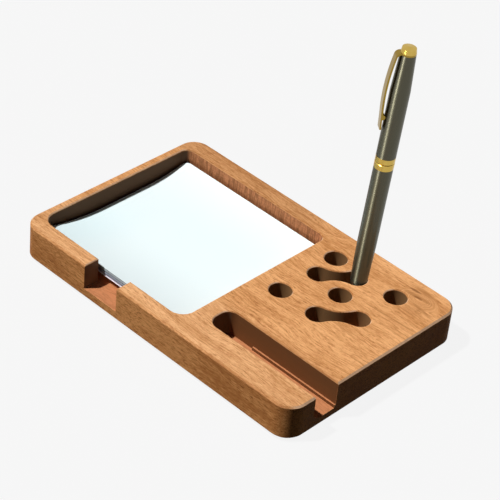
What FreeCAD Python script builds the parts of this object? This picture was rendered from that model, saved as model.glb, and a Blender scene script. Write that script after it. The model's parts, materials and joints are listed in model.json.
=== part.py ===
"""Desk organizer milled from one hardwood board: memo pocket, pen holes and phone slot.

The set is the board on four rubber feet, a stack of loose memo sheets and a twist ballpoint pen
that stands in one lobe of a dumbbell hole. Sizes are in millimetres and stand in the spreadsheet.

Frame: +Z is up and the feet stand on Z = 0. The origin is the middle of the board's outline, +X
runs along the board towards the open end of the phone slot and +Y runs away from the user.
"""
import FreeCAD, Part
import math
import os
import re
import Sketcher

Vector = FreeCAD.Vector

# --------------------------------------------------------------------------------------------
# Driving dimensions: alias, value, what it is
# --------------------------------------------------------------------------------------------
SIZES = [
    # board
    ("board_length", 170.0, "board, along X"),
    ("board_width", 110.0, "board, along Y"),
    ("board_thickness", 18.0, "board, along Z"),
    ("board_corner_radius", 9.0, "upright corners of the board"),
    ("top_bevel", 0.8, "sanded edge round the top"),
    ("bottom_bevel", 1.2, "bevelled edge round the underside"),
    ("rim_bevel", 0.4, "sanded rim of the pocket, slot and holes"),
    # memo pocket and finger notch
    ("pocket_left_wall", 4.4, "wall left of the pocket"),
    ("pocket_front_wall", 8.2, "wall in front of the pocket"),
    ("pocket_back_wall", 9.4, "wall behind the pocket"),
    ("pocket_depth", 13.0, "pocket, below the board's top"),
    ("pocket_front_corner", 7.0, "front corners of the pocket"),
    ("pocket_back_corner", 4.5, "back corners of the pocket"),
    ("notch_width", 21.1, "finger notch through the front wall"),
    ("notch_offset", 38.6, "notch, from the pocket's left wall"),
    ("notch_depth", 13.0, "notch, below the board's top"),
    # phone slot
    ("slot_width", 13.8, "phone slot, front to back"),
    ("slot_front_margin", 15.6, "board left in front of the slot"),
    ("slot_end_gap", 8.5, "wood between the pocket and the slot's closed end"),
    ("slot_depth", 13.4, "slot, below the board's top"),
    ("slot_corner", 5.5, "corners of the slot's closed end"),
    ("slot_cove", 4.6, "cove along the slot's front foot"),
    ("ledge_width", 0.8, "ledge along the slot's back foot"),
    ("ledge_height", 1.6, "ledge, above the slot's floor"),
    ("ledge_start", 15.7, "ledge, from the slot's closed end"),
    # round pen holes
    ("hole_diameter", 10.8, "round pen hole"),
    ("hole_depth", 13.0, "pen holes, below the board's top"),
    ("left_hole_share", 0.188, "left holes' place, as a share of the wood right of the pocket"),
    ("middle_hole_share", 0.453, "middle hole's place, likewise"),
    ("right_hole_share", 0.683, "right hole's place, likewise"),
    ("hole_back_margin", 17.8, "back row of holes, from the board's back"),
    ("hole_row_step", 18.2, "from row to row"),
    # dumbbell holes
    ("lobe_diameter", 10.8, "end lobes of a dumbbell hole"),
    ("back_lobe_spacing", 16.8, "between the lobes of the back dumbbell"),
    ("front_lobe_spacing", 18.1, "between the lobes of the front dumbbell"),
    ("neck_width", 6.5, "waist between the lobes"),
    ("dumbbell_depth", 13.0, "dumbbell holes, below the board's top"),
    ("dumbbell_angle", 40.4, "turn of the dumbbell holes from X, degrees"),
    ("back_dumbbell_left", 10.12, "back dumbbell, left of the middle hole"),
    ("back_dumbbell_behind", 9.2, "back dumbbell, behind the middle hole"),
    ("front_dumbbell_right", 9.59, "front dumbbell, right of the middle hole"),
    ("front_dumbbell_before", 11.84, "front dumbbell, in front of the middle hole"),
    # feet
    ("foot_diameter", 12.0, "rubber foot"),
    ("foot_proud", 1.0, "foot, below the board"),
    ("foot_recess", 1.2, "recess for the foot, into the board"),
    ("foot_inset", 13.0, "foot's middle, from the board's edges"),
    ("foot_play", 0.1, "gap round a foot in its recess"),
    # memo sheets: flat in the middle, curled up at the front and back
    ("sheet_play", 1.4, "gap between the sheets and each pocket wall"),
    ("sheet_corner", 3.0, "corners of the sheets"),
    ("lower_bundle", 1.0, "thickness of the lower sheets"),
    ("middle_bundle", 1.0, "thickness of the middle sheets"),
    ("upper_bundle", 0.9, "thickness of the upper sheets"),
    ("top_sheet", 0.3, "thickness of the top sheet and its backing fold"),
    ("sheet_air", 0.02, "air between one bundle and the next"),
    ("front_curl_length", 34.5, "curled stretch at the front"),
    ("back_curl_length", 26.0, "curled stretch at the back"),
    ("front_curl_radius", 160.0, "lower sheets' bend at the front"),
    ("back_curl_radius", 140.0, "lower sheets' bend at the back"),
    ("curl_gain", 12.0, "how much tighter each bundle bends than the one below"),
    # pen: heights and lengths run along its axis, from the foot of the tip's cone up
    ("pen_length", 134.9, "pen, from the foot of the tip's cone to the crown"),
    ("pen_lean", 3.0, "pen's lean from upright, degrees"),
    ("pen_offset", 1.24, "pen's axis at the board's top, from the lobe's middle"),
    ("point_radius", 0.35, "writing point, at the foot of the tip's cone"),
    ("point_height", 0.35, "writing point, below the tip's cone"),
    ("point_clearance", 0.03, "writing point above the hole's floor"),
    ("nose_height", 2.4, "open end of the nose"),
    ("nose_length", 9.6, "nose, up to the barrel"),
    ("nose_radius", 1.75, "outside of the nose's open end"),
    ("nose_bore_length", 6.2, "narrow bore of the nose"),
    ("refill_bore_length", 5.0, "bore round the refill's foot, behind the nose"),
    ("barrel_foot_radius", 3.95, "lower barrel at the nose"),
    ("lower_taper_length", 20.0, "lower barrel, from the nose to its full width"),
    ("lower_straight_length", 42.45, "lower barrel, from its full width to its top"),
    ("lower_body_radius", 4.4, "lower barrel at its full width"),
    ("ring_length", 2.8, "each gold ring"),
    ("ring_radius", 4.46, "gold rings, outside"),
    ("ring_joint_gap", 0.3, "gap between the rings"),
    ("ring_bevel", 0.3, "rings' edges at the joint between them"),
    ("upper_body_radius", 4.42, "upper barrel, up to where it begins to taper"),
    ("upper_taper_length", 18.0, "upper barrel's taper"),
    ("upper_top_radius", 3.5, "upper barrel at its upper end"),
    ("finial_length", 2.5, "finial, above the clip's band"),
    ("finial_foot_radius", 3.5, "finial at its foot"),
    ("finial_neck_radius", 3.1, "finial below its crown"),
    ("finial_crown_height", 0.45, "finial's crown"),
    ("stud_radius", 1.2, "finial's stud through the clip"),
    ("stud_length", 7.0, "finial's stud"),
    # pen: mechanism
    ("barrel_bore_radius", 3.0, "lower barrel's bore below the housing"),
    ("housing_radius", 3.3, "mechanism housing, outside"),
    ("housing_bore_radius", 2.6, "mechanism housing, inside"),
    ("housing_seat_length", 11.3, "housing, below the lower barrel's top"),
    ("housing_spigot_length", 19.85, "housing, above the gap between the rings"),
    ("wide_bore_length", 2.0, "upper barrel's wide bore, above the housing"),
    ("narrow_bore_radius", 2.7, "upper barrel's bore above its wide one"),
    ("cam_bore_radius", 1.95, "cam sleeve, inside"),
    ("cam_engagement_length", 13.0, "cam sleeve, inside the housing"),
    ("follower_head_length", 9.0, "cam follower above the refill"),
    ("follower_entry_length", 6.0, "refill's upper end, above the cam sleeve's foot"),
    ("follower_stem_length", 4.0, "follower's stem inside the refill"),
    ("refill_radius", 1.5, "refill tube, outside"),
    ("refill_wall", 0.35, "refill tube's wall"),
    ("tip_length", 9.0, "refill tip, from the foot of its cone to the tube"),
    ("tip_radius", 1.14, "refill tip, outside"),
    ("tip_cone_length", 1.9, "cone of the refill tip"),
    ("tip_stem_length", 5.0, "refill tip's stem inside the tube"),
    ("running_clearance", 0.06, "gap all round a turning or sliding piece"),
    ("seat_clearance", 0.02, "gap all round a fixed piece in its seat"),
    # clip
    ("clip_turn", 193.0, "clip's place round the pen, from its lean, degrees"),
    ("clip_width", 3.6, "clip strip"),
    ("clip_sheet", 0.8, "clip's metal"),
    ("clip_shoulder", 5.45, "clip's back below the band, from the pen's axis"),
    ("clip_knee_radius", 2.2, "clip's outer knee under the band"),
    ("clip_knee_drop", 0.9, "clip's knee, below the band"),
    ("clip_bow_radius", 105.0, "inside of the clip's bow"),
    ("clip_bow_length", 31.1, "clip's bow, from the band to the middle of its dimple"),
    ("clip_rise", 1.2, "clip's inside beside its dimple, off the barrel"),
    ("clip_dimple_length", 2.6, "dimple, along the clip"),
    ("clip_dimple_gap", 0.05, "dimple's crest, off the barrel"),
    ("clip_tail_length", 6.1, "clip below the middle of its dimple"),
    ("clip_tip_gap", 0.75, "clip's inside at its lower end, off the barrel"),
]

doc = FreeCAD.newDocument("DeskOrganizer")
sheet = doc.addObject("Spreadsheet::Sheet", "Sizes")
for row, (alias, size, note) in enumerate(SIZES, start=1):
    sheet.set("A%d" % row, str(size))
    sheet.setAlias("A%d" % row, alias)
    sheet.set("B%d" % row, "'" + note)
doc.recompute()
ALIASES = {alias for alias, size, note in SIZES}

# --------------------------------------------------------------------------------------------
# Places that several pieces share, as expressions of the sizes
# --------------------------------------------------------------------------------------------
HALF_LENGTH = "(board_length / 2)"
HALF_WIDTH = "(board_width / 2)"
POCKET_SIDE = "(board_width - pocket_front_wall - pocket_back_wall)"
SHEET_SIDE = "(%s - 2 * sheet_play)" % POCKET_SIDE
POCKET_LEFT = "(pocket_left_wall - %s)" % HALF_LENGTH
POCKET_RIGHT = "(%s + %s)" % (POCKET_LEFT, POCKET_SIDE)
POCKET_FRONT = "(pocket_front_wall - %s)" % HALF_WIDTH
POCKET_BACK = "(%s + %s)" % (POCKET_FRONT, POCKET_SIDE)
SLOT_LEFT = "(%s + slot_end_gap)" % POCKET_RIGHT
SLOT_FRONT = "(slot_front_margin - %s)" % HALF_WIDTH
SLOT_BACK = "(%s + slot_width)" % SLOT_FRONT
SLOT_FLOOR = "(board_thickness - slot_depth)"
HOLE_LEFT, HOLE_MIDDLE, HOLE_RIGHT = [
    "(%s + (%s - %s) * %s_hole_share)" % (POCKET_RIGHT, HALF_LENGTH, POCKET_RIGHT, column)
    for column in ("left", "middle", "right")]
ROW_BACK = "(%s - hole_back_margin)" % HALF_WIDTH
ROW_MIDDLE = "(%s - hole_row_step)" % ROW_BACK
ROW_FRONT = "(%s - hole_row_step)" % ROW_MIDDLE
BACK_DUMBBELL = ("(%s - back_dumbbell_left)" % HOLE_MIDDLE, "(%s + back_dumbbell_behind)" % ROW_MIDDLE)
FRONT_DUMBBELL = ("(%s + front_dumbbell_right)" % HOLE_MIDDLE,
                  "(%s - front_dumbbell_before)" % ROW_MIDDLE)
FOOT_X = "(%s - foot_inset)" % HALF_LENGTH
FOOT_Y = "(%s - foot_inset)" % HALF_WIDTH
SHEET_MIDDLE_X = "(%s + %s / 2)" % (POCKET_LEFT, POCKET_SIDE)
SHEET_MIDDLE_Y = "(%s + %s / 2)" % (POCKET_FRONT, POCKET_SIDE)
MIDDLE_BASE = "(lower_bundle + sheet_air)"
UPPER_BASE = "(%s + middle_bundle + sheet_air)" % MIDDLE_BASE
TOP_BASE = "(%s + upper_bundle + sheet_air)" % UPPER_BASE
POCKET_FLOOR = "(foot_proud + board_thickness - pocket_depth)"
TIP_CLEARANCE = "(point_clearance + point_height)"
TIP_Z = "(foot_proud + board_thickness - dumbbell_depth + %s)" % TIP_CLEARANCE
# how far along the lean the pen's axis lies from the lobe's middle, at the height of the tip
TIP_SHIFT = "(pen_offset - (dumbbell_depth - %s) * tan(pen_lean))" % TIP_CLEARANCE
PEN_ALONG = "(back_lobe_spacing / 2 + %s)" % TIP_SHIFT
PEN_X = "(%s + %s * cos(dumbbell_angle))" % (BACK_DUMBBELL[0], PEN_ALONG)
PEN_Y = "(%s + %s * sin(dumbbell_angle))" % (BACK_DUMBBELL[1], PEN_ALONG)
BARREL_BORE = "(housing_radius + seat_clearance)"
UPPER_BORE = "(housing_radius + running_clearance)"
CAM_RADIUS = "(housing_bore_radius - running_clearance)"
CAM_HEAD_RADIUS = "(narrow_bore_radius - seat_clearance)"
FOLLOWER_RADIUS = "(cam_bore_radius - running_clearance)"
REFILL_BORE = "(refill_radius - refill_wall)"
# heights along the pen
NOSE_TOP = "(nose_height + nose_length)"
LOWER_BODY = "(%s + lower_taper_length)" % NOSE_TOP
LOWER_TOP = "(%s + lower_straight_length)" % LOWER_BODY
LOWER_RING_TOP = "(%s + ring_length)" % LOWER_TOP
UPPER_RING_FOOT = "(%s + ring_joint_gap)" % LOWER_RING_TOP
UPPER_FOOT = "(%s + ring_length)" % UPPER_RING_FOOT
FINIAL_FOOT = "(pen_length - finial_length)"
UPPER_TOP = "(%s - clip_sheet)" % FINIAL_FOOT
UPPER_TAPER = "(%s - upper_taper_length)" % UPPER_TOP
HOUSING_FOOT = "(%s - housing_seat_length)" % LOWER_TOP
HOUSING_TOP = "(%s + housing_spigot_length)" % UPPER_RING_FOOT
WIDE_BORE_TOP = "(%s + wide_bore_length)" % HOUSING_TOP
STUD_SEAT = "(%s - stud_length)" % UPPER_TOP
CAM_FOOT = "(%s - cam_engagement_length)" % HOUSING_TOP
REFILL_TOP = "(%s + follower_entry_length)" % CAM_FOOT


def spelled(expression):
    """The expression with every size written as a cell of the spreadsheet."""
    return re.sub(r"[a-z_]+", lambda word: "Sizes." + word[0] if word[0] in ALIASES else word[0],
                  expression)


def value(expression):
    """The number that an expression of the sizes gives."""
    return float(sheet.evalExpression(spelled(expression)))


def bind(feature, **places):
    """Tie properties to sizes; a double underscore in a name stands for a dot."""
    for name, expression in places.items():
        feature.setExpression(name.replace("__", "."), spelled(expression))


# --------------------------------------------------------------------------------------------
# Bodies, sketches and features
# --------------------------------------------------------------------------------------------
def new_body(label):
    body = doc.addObject("PartDesign::Body", label)
    body.Label = label
    return body


def new_sketch(body, name, role, height="0", across="0", along="0", turn=None):
    """A sketch on one of the body's origin planes, moved off it by bound distances."""
    sketch = body.newObject("Sketcher::SketchObject", name)
    plane = [item for item in body.Origin.OriginFeatures if item.Role == role][0]
    sketch.AttachmentSupport = [(plane, "")]
    sketch.MapMode = "FlatFace"
    if turn:
        axis, angle = turn
        sketch.AttachmentOffset = FreeCAD.Placement(Vector(), FreeCAD.Rotation(axis, value(angle)))
        bind(sketch, AttachmentOffset__Rotation__Angle=angle)
    bind(sketch, AttachmentOffset__Base__x=across, AttachmentOffset__Base__y=along,
         AttachmentOffset__Base__z=height)
    return sketch


def fix(sketch, kind, items, expression):
    """Add a dimension to the sketch and tie it to the sizes."""
    number = sketch.addConstraint(Sketcher.Constraint(kind, *items, value(expression)))
    sketch.setExpression("Constraints[%d]" % number, spelled(expression))


def fix_point(sketch, side, end, x, y):
    """Dimension one point of the sketch from its origin."""
    fix(sketch, "DistanceX", (-1, 1, side, end), x)
    fix(sketch, "DistanceY", (-1, 1, side, end), y)


def outline(sketch, corners, arcs=None):
    """Close a loop through the corners, each a pair of expressions.

    arcs maps the number of a side to its radius, and to the hand on which the centre lies as one
    walks along the side: +1 for the left, -1 for the right. Other sides are straight.
    """
    arcs = arcs or {}
    points = [Vector(value(x), value(y), 0) for x, y in corners]
    ends = []
    for number, start in enumerate(points):
        finish = points[(number + 1) % len(points)]
        if number not in arcs:
            side = sketch.addGeometry(Part.LineSegment(start, finish), False)
            ends.append((side, 1, 2))
            continue
        radius, hand = arcs[number]
        chord = finish - start
        reach = math.sqrt(value(radius) ** 2 - (chord.Length / 2) ** 2)
        left = Vector(-chord.y, chord.x, 0).normalize()
        middle = (start + finish) * 0.5 + left * (reach * hand)
        first, last = (start, finish) if hand > 0 else (finish, start)
        angles = [math.atan2(point.y - middle.y, point.x - middle.x) for point in (first, last)]
        circle = Part.Circle(middle, Vector(0, 0, 1), value(radius))
        side = sketch.addGeometry(Part.ArcOfCircle(circle, *angles), False)
        ends.append((side, 1, 2) if hand > 0 else (side, 2, 1))
        fix(sketch, "Radius", (side,), radius)
    for number, (side, start, finish) in enumerate(ends):
        after = ends[(number + 1) % len(ends)]
        sketch.addConstraint(Sketcher.Constraint("Coincident", side, finish, after[0], after[1]))
        fix_point(sketch, side, start, *corners[number])


def circles(sketch, middles, diameter):
    """Equal circles about the given middles."""
    for x, y in middles:
        circle = Part.Circle(Vector(value(x), value(y), 0), Vector(0, 0, 1), value(diameter) / 2)
        side = sketch.addGeometry(circle, False)
        fix(sketch, "Diameter", (side,), diameter)
        fix_point(sketch, side, 3, x, y)


def rectangle(sketch, left, right, front, back):
    outline(sketch, [(left, front), (right, front), (right, back), (left, back)])


def pad(body, name, sketch, length, midplane=False):
    feature = body.newObject("PartDesign::Pad", name)
    feature.Profile = sketch
    feature.Midplane = midplane
    bind(feature, Length=length)
    doc.recompute()
    return feature


def pocket(body, name, sketch, depth, upwards=False):
    """Cut below the sketch, or above it, and make sure that something is cut."""
    before = body.Shape.Volume
    feature = body.newObject("PartDesign::Pocket", name)
    feature.Profile = sketch
    feature.Reversed = upwards
    bind(feature, Length=depth)
    doc.recompute()
    if body.Shape.Volume >= before:
        raise RuntimeError(name + " cuts nothing")
    return feature


def turned(body, name, corners, arcs=None):
    """Revolve a half outline, radius and height in each corner, about the body's Z axis."""
    sketch = new_sketch(body, name + "Outline", "XZ_Plane")
    outline(sketch, corners, arcs)
    feature = body.newObject("PartDesign::Revolution", name)
    feature.Profile = sketch
    feature.ReferenceAxis = (sketch, ["V_Axis"])
    doc.recompute()
    return feature


def eased(body, name, radius, chosen, kind="Fillet"):
    """Round or bevel the edges of the body's last feature that the test picks."""
    base = body.Tip
    names = ["Edge%d" % number for number, edge in enumerate(base.Shape.Edges, start=1)
             if chosen(edge)]
    if not names:
        raise RuntimeError(name + " finds no edge")
    feature = body.newObject("PartDesign::" + kind, name)
    feature.Base = (base, names)
    bind(feature, **{"Radius" if kind == "Fillet" else "Size": radius})
    doc.recompute()
    return feature


NEAR = 1e-4


def at_height(edge, height):
    box = edge.BoundBox
    return abs(box.ZMin - height) < NEAR and abs(box.ZMax - height) < NEAR


def upright_at(edge, x, y):
    box = edge.BoundBox
    return (box.XLength < NEAR and box.YLength < NEAR and abs(box.XMin - x) < NEAR
            and abs(box.YMin - y) < NEAR)


# --------------------------------------------------------------------------------------------
# Board
# --------------------------------------------------------------------------------------------
def upright_corners(body, name, radius, places):
    """Round the upright edges that stand at the given places in plan."""
    spots = [(value(x), value(y)) for x, y in places]
    return eased(body, name, radius,
                 lambda edge: any(upright_at(edge, x, y) for x, y in spots))


def dumbbell(body, name, middle, spacing):
    """Two lobes joined by a waist whose sides are arcs that run smoothly into the lobes."""
    sketch = new_sketch(body, name + "Outline", "XY_Plane", "board_thickness", middle[0], middle[1],
                        (Vector(0, 0, 1), "dumbbell_angle"))
    lobe = "(lobe_diameter / 2)"
    half = "(%s / 2)" % spacing
    waist = "((%s^2 + (neck_width / 2)^2 - %s^2) / (lobe_diameter - neck_width))" % (half, lobe)
    reach = "(%s + neck_width / 2)" % waist
    meet_x = "(%s * %s / (%s + %s))" % (half, waist, waist, lobe)
    meet_y = "(%s * %s / (%s + %s))" % (lobe, reach, waist, lobe)
    away = math.atan2(value(meet_y), value(meet_x) - value(half))
    bend = math.atan2(value(meet_y) - value(reach), value(meet_x))
    up = Vector(0, 0, 1)
    right_lobe = sketch.addGeometry(Part.ArcOfCircle(
        Part.Circle(Vector(value(half), 0, 0), up, value(lobe)), -away, away), False)
    back_side = sketch.addGeometry(Part.ArcOfCircle(
        Part.Circle(Vector(0, value(reach), 0), up, value(waist)), -math.pi - bend, bend), False)
    left_lobe = sketch.addGeometry(Part.ArcOfCircle(
        Part.Circle(Vector(-value(half), 0, 0), up, value(lobe)), math.pi - away,
        math.pi + away), False)
    front_side = sketch.addGeometry(Part.ArcOfCircle(
        Part.Circle(Vector(0, -value(reach), 0), up, value(waist)), -bend, math.pi + bend), False)
    for first, start, second, finish in ((right_lobe, 2, back_side, 2), (back_side, 1, left_lobe, 1),
                                         (left_lobe, 2, front_side, 2), (front_side, 1, right_lobe, 1)):
        sketch.addConstraint(Sketcher.Constraint("Tangent", first, start, second, finish))
    fix(sketch, "Radius", (right_lobe,), lobe)
    fix(sketch, "Radius", (left_lobe,), lobe)
    fix_point(sketch, right_lobe, 3, half, "0")
    fix_point(sketch, left_lobe, 3, "-" + half, "0")
    for side, sign in ((back_side, ""), (front_side, "-")):
        fix(sketch, "Radius", (side,), waist)
    return pocket(body, name, sketch, "dumbbell_depth")


def make_board():
    body = new_body("wooden_block")
    right, back = HALF_LENGTH, HALF_WIDTH
    sketch = new_sketch(body, "BoardOutline", "XY_Plane")
    rectangle(sketch, "-" + right, right, "-" + back, back)
    pad(body, "Board", sketch, "board_thickness")
    upright_corners(body, "BoardCorners", "board_corner_radius",
                    [(sign_x + right, sign_y + back) for sign_x in ("", "-") for sign_y in ("", "-")])
    for name, bevel, height in (("TopBevel", "top_bevel", "board_thickness"),
                                ("BottomBevel", "bottom_bevel", "0")):
        eased(body, name, bevel, lambda edge: at_height(edge, value(height)), "Chamfer")

    sketch = new_sketch(body, "MemoPocketOutline", "XY_Plane", "board_thickness")
    rectangle(sketch, POCKET_LEFT, POCKET_RIGHT, POCKET_FRONT, POCKET_BACK)
    pocket(body, "MemoPocket", sketch, "pocket_depth")
    upright_corners(body, "PocketFrontCorners", "pocket_front_corner",
                    [(POCKET_LEFT, POCKET_FRONT), (POCKET_RIGHT, POCKET_FRONT)])
    upright_corners(body, "PocketBackCorners", "pocket_back_corner",
                    [(POCKET_LEFT, POCKET_BACK), (POCKET_RIGHT, POCKET_BACK)])

    sketch = new_sketch(body, "FingerNotchOutline", "XY_Plane", "board_thickness")
    notch_left = "(%s + notch_offset)" % POCKET_LEFT
    rectangle(sketch, notch_left, "(%s + notch_width)" % notch_left, "-" + back, POCKET_FRONT)
    pocket(body, "FingerNotch", sketch, "notch_depth")

    sketch = new_sketch(body, "PhoneSlotOutline", "XY_Plane", "board_thickness")
    rectangle(sketch, SLOT_LEFT, right, SLOT_FRONT, SLOT_BACK)
    pocket(body, "PhoneSlot", sketch, "slot_depth")
    upright_corners(body, "SlotCorners", "slot_corner",
                    [(SLOT_LEFT, SLOT_FRONT), (SLOT_LEFT, SLOT_BACK)])
    make_slot_foot(body, right)

    sketch = new_sketch(body, "PenHoleOutline", "XY_Plane", "board_thickness")
    circles(sketch, [(HOLE_LEFT, ROW_BACK), (HOLE_LEFT, ROW_FRONT), (HOLE_MIDDLE, ROW_MIDDLE),
                     (HOLE_RIGHT, ROW_BACK)], "hole_diameter")
    pocket(body, "PenHoles", sketch, "hole_depth")
    dumbbell(body, "BackDumbbell", BACK_DUMBBELL, "back_lobe_spacing")
    dumbbell(body, "FrontDumbbell", FRONT_DUMBBELL, "front_lobe_spacing")

    sketch = new_sketch(body, "FootRecessOutline", "XY_Plane")
    circles(sketch, [(sign_x + FOOT_X, sign_y + FOOT_Y) for sign_x in ("", "-")
                     for sign_y in ("", "-")], "foot_diameter + 2 * foot_play")
    pocket(body, "FootRecesses", sketch, "foot_recess", upwards=True)
    soften_rims(body)
    bind(body, Placement__Base__z="foot_proud")
    return body


def make_slot_foot(body, right):
    """A cove along the slot's front foot and a ledge along its back foot, open at the mouth."""
    length = "(%s - %s)" % (right, SLOT_LEFT)
    sketch = new_sketch(body, "SlotCoveOutline", "YZ_Plane", SLOT_LEFT)
    outline(sketch, [(SLOT_FRONT, SLOT_FLOOR), ("(%s + slot_cove)" % SLOT_FRONT, SLOT_FLOOR),
                     (SLOT_FRONT, "(%s + slot_cove)" % SLOT_FLOOR)], {1: ("slot_cove", -1)})
    pad(body, "SlotCove", sketch, length)
    sketch = new_sketch(body, "SlotLedgeOutline", "XY_Plane", SLOT_FLOOR)
    rectangle(sketch, "(%s + ledge_start)" % SLOT_LEFT, right, "(%s - ledge_width)" % SLOT_BACK,
              SLOT_BACK)
    pad(body, "SlotLedge", sketch, "ledge_height")


def soften_rims(body):
    """Sand the rims of all openings; the sanding runs on down the mouths of the notch and slot."""
    top = value("board_thickness")
    corner = value("board_corner_radius")
    straight_x = value(HALF_LENGTH) - corner
    straight_y = value(HALF_WIDTH) - corner
    edge_of_top = corner - value("top_bevel") - NEAR

    def rim(edge):
        middle = edge.valueAt((edge.FirstParameter + edge.LastParameter) / 2)
        past_x, past_y = max(abs(middle.x) - straight_x, 0), max(abs(middle.y) - straight_y, 0)
        return at_height(edge, top) and math.hypot(past_x, past_y) < edge_of_top

    eased(body, "RimSanding", "rim_bevel", rim, "Chamfer")


# --------------------------------------------------------------------------------------------
# Feet and memo sheets
# --------------------------------------------------------------------------------------------
def make_foot(label, x, y):
    body = new_body(label)
    radius, height = "(foot_diameter / 2)", "(foot_proud + foot_recess)"
    turned(body, "Foot", [("0", "0"), (radius, "0"), (radius, height), ("0", height)])
    bind(body, Placement__Base__x=x, Placement__Base__y=y)
    return body


def make_sheets(label, base, thickness, tighter):
    """Sheets that lie flat in the middle and curl up at the front and the back."""
    body = new_body(label)
    front_radius = "(front_curl_radius - %s * curl_gain)" % tighter
    back_radius = "(back_curl_radius - %s * curl_gain)" % tighter
    front_end = "(front_curl_length - %s / 2)" % SHEET_SIDE
    back_end = "(%s / 2 - back_curl_length)" % SHEET_SIDE
    front_angle = "(front_curl_length / %s * 180 / pi)" % front_radius
    back_angle = "(back_curl_length / %s * 180 / pi)" % back_radius

    def edge_point(end, sign, radius, angle, lift):
        return ("(%s %s (%s - %s) * sin(%s))" % (end, sign, radius, lift, angle),
                "(%s - (%s - %s) * cos(%s))" % (radius, radius, lift, angle))

    sketch = new_sketch(body, "Section", "YZ_Plane")
    outline(sketch, [(front_end, "0"), (back_end, "0"),
                     edge_point(back_end, "+", back_radius, back_angle, "0"),
                     edge_point(back_end, "+", back_radius, back_angle, thickness),
                     (back_end, thickness), (front_end, thickness),
                     edge_point(front_end, "-", front_radius, front_angle, thickness),
                     edge_point(front_end, "-", front_radius, front_angle, "0")],
            {1: (back_radius, 1), 3: ("(%s - %s)" % (back_radius, thickness), -1),
             5: ("(%s - %s)" % (front_radius, thickness), -1), 7: (front_radius, 1)})
    pad(body, "Sheets", sketch, SHEET_SIDE, midplane=True)
    eased(body, "SheetCorners", "sheet_corner",
          lambda edge: edge.BoundBox.XLength < NEAR and edge.Length < value("sheet_corner"))
    bind(body, Placement__Base__x=SHEET_MIDDLE_X, Placement__Base__y=SHEET_MIDDLE_Y,
         Placement__Base__z="(%s + %s)" % (POCKET_FLOOR, base))
    return body


# --------------------------------------------------------------------------------------------
# Pen
# --------------------------------------------------------------------------------------------
def lean(body):
    """Stand a pen piece, made upright about Z with the tip's foot at its origin, in its hole."""
    body.Placement = FreeCAD.Placement(Vector(), FreeCAD.Rotation(value("dumbbell_angle"),
                                                                  value("pen_lean"), 0))
    bind(body, Placement__Base__x=PEN_X, Placement__Base__y=PEN_Y, Placement__Base__z=TIP_Z,
         Placement__Rotation__Yaw="dumbbell_angle", Placement__Rotation__Pitch="pen_lean")
    return body


def make_lower_barrel():
    body = new_body("pen_lower_barrel")
    bore = "(tip_radius + running_clearance)"
    refill_bore = "(refill_radius + running_clearance)"
    refill_step = "(nose_height + nose_bore_length)"
    barrel_step = "(%s + refill_bore_length)" % refill_step
    turned(body, "Barrel", [
        (bore, "nose_height"), ("nose_radius", "nose_height"), ("barrel_foot_radius", NOSE_TOP),
        ("lower_body_radius", LOWER_BODY), ("lower_body_radius", LOWER_TOP),
        (BARREL_BORE, LOWER_TOP), (BARREL_BORE, HOUSING_FOOT), ("barrel_bore_radius", HOUSING_FOOT),
        ("barrel_bore_radius", barrel_step), (refill_bore, barrel_step),
        (refill_bore, refill_step), (bore, refill_step)])
    return lean(body)


def make_upper_barrel():
    body = new_body("pen_upper_barrel")
    stud_bore = "(stud_radius + seat_clearance)"
    turned(body, "Barrel", [
        (UPPER_BORE, UPPER_FOOT), ("upper_body_radius", UPPER_FOOT),
        ("upper_body_radius", UPPER_TAPER), ("upper_top_radius", UPPER_TOP),
        (stud_bore, UPPER_TOP), (stud_bore, STUD_SEAT),
        ("narrow_bore_radius", STUD_SEAT), ("narrow_bore_radius", WIDE_BORE_TOP),
        (UPPER_BORE, WIDE_BORE_TOP)])
    return lean(body)


def make_ring(label, foot, top, bore, bevelled_end):
    body = new_body(label)
    turned(body, "Ring", [(bore, foot), ("ring_radius", foot), ("ring_radius", top), (bore, top)])
    outside = value("ring_radius")
    eased(body, "RingEdge", "ring_bevel",
          lambda edge: edge.BoundBox.XMax > outside - NEAR and at_height(edge, value(bevelled_end)),
          "Chamfer")
    return lean(body)


def make_finial():
    body = new_body("pen_finial")
    crown = "(pen_length - finial_crown_height)"
    stud = "(%s - stud_length)" % FINIAL_FOOT
    turned(body, "Finial", [
        ("0", stud), ("stud_radius", stud), ("stud_radius", FINIAL_FOOT),
        ("finial_foot_radius", FINIAL_FOOT), ("finial_neck_radius", crown), ("0", "pen_length")])
    return lean(body)


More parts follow.
